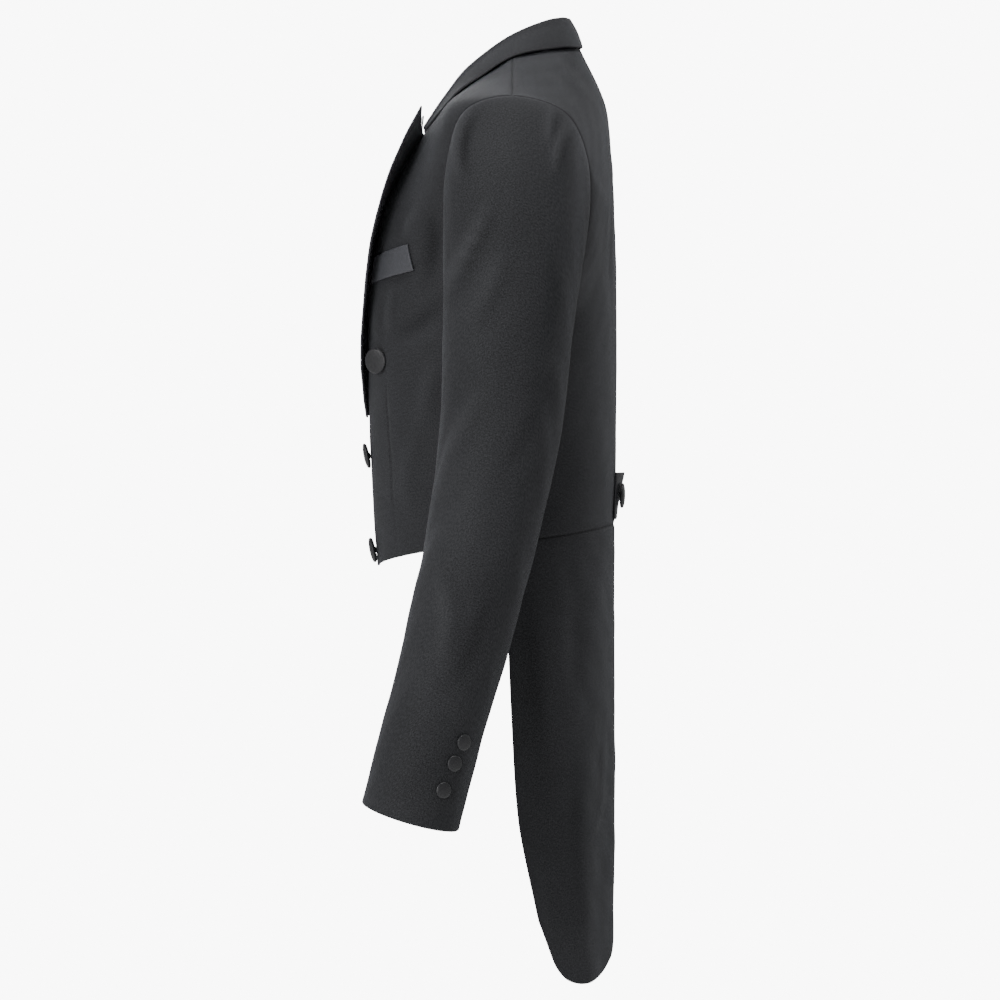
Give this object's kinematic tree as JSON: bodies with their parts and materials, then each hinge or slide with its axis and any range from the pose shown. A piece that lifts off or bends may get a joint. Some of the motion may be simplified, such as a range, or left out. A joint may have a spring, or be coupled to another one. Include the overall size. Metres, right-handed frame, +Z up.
{
  "type": "tailcoat",
  "caption": "Black tailcoat jacket with open cutaway front, satin peak lapels, covered buttons, long set-in sleeves and rounded tails, in its worn shape.",
  "frame": {"origin": "in the middle of the neck opening, level with the place where the collar's edge crosses the shoulder seams, where the wearer's neck and shoulders hold the jacket", "axes": "+X to the wearer's left, -Y to the wearer's front, +Z up"},
  "size_m": [0.604, 0.2377, 0.8662],
  "materials": {
    "suiting": "fine matt black twill suiting",
    "satin": "black satin with a soft sheen",
    "button_satin": "black satin stretched over button forms"
  },
  "bodies": {
    "root": {"front_left": "suiting", "front_right": "suiting", "back_left": "suiting", "back_right": "suiting", "tail_left": "suiting", "tail_right": "suiting", "top_sleeve_left": "suiting", "top_sleeve_right": "suiting", "under_sleeve_left": "suiting", "under_sleeve_right": "suiting", "lapel_left": "satin", "lapel_right": "satin", "collar": "suiting", "breast_welt": "satin", "half_belt": "satin", "front_button_1_left": "button_satin", "front_button_1_right": "button_satin", "front_button_2_left": "button_satin", "front_button_2_right": "button_satin", "front_button_3_left": "button_satin", "front_button_3_right": "button_satin", "cuff_button_1_left": "button_satin", "cuff_button_1_right": "button_satin", "cuff_button_2_left": "button_satin", "cuff_button_2_right": "button_satin", "cuff_button_3_left": "button_satin", "cuff_button_3_right": "button_satin", "back_button_left": "button_satin", "back_button_right": "button_satin"}
  },
  "joints": []
}
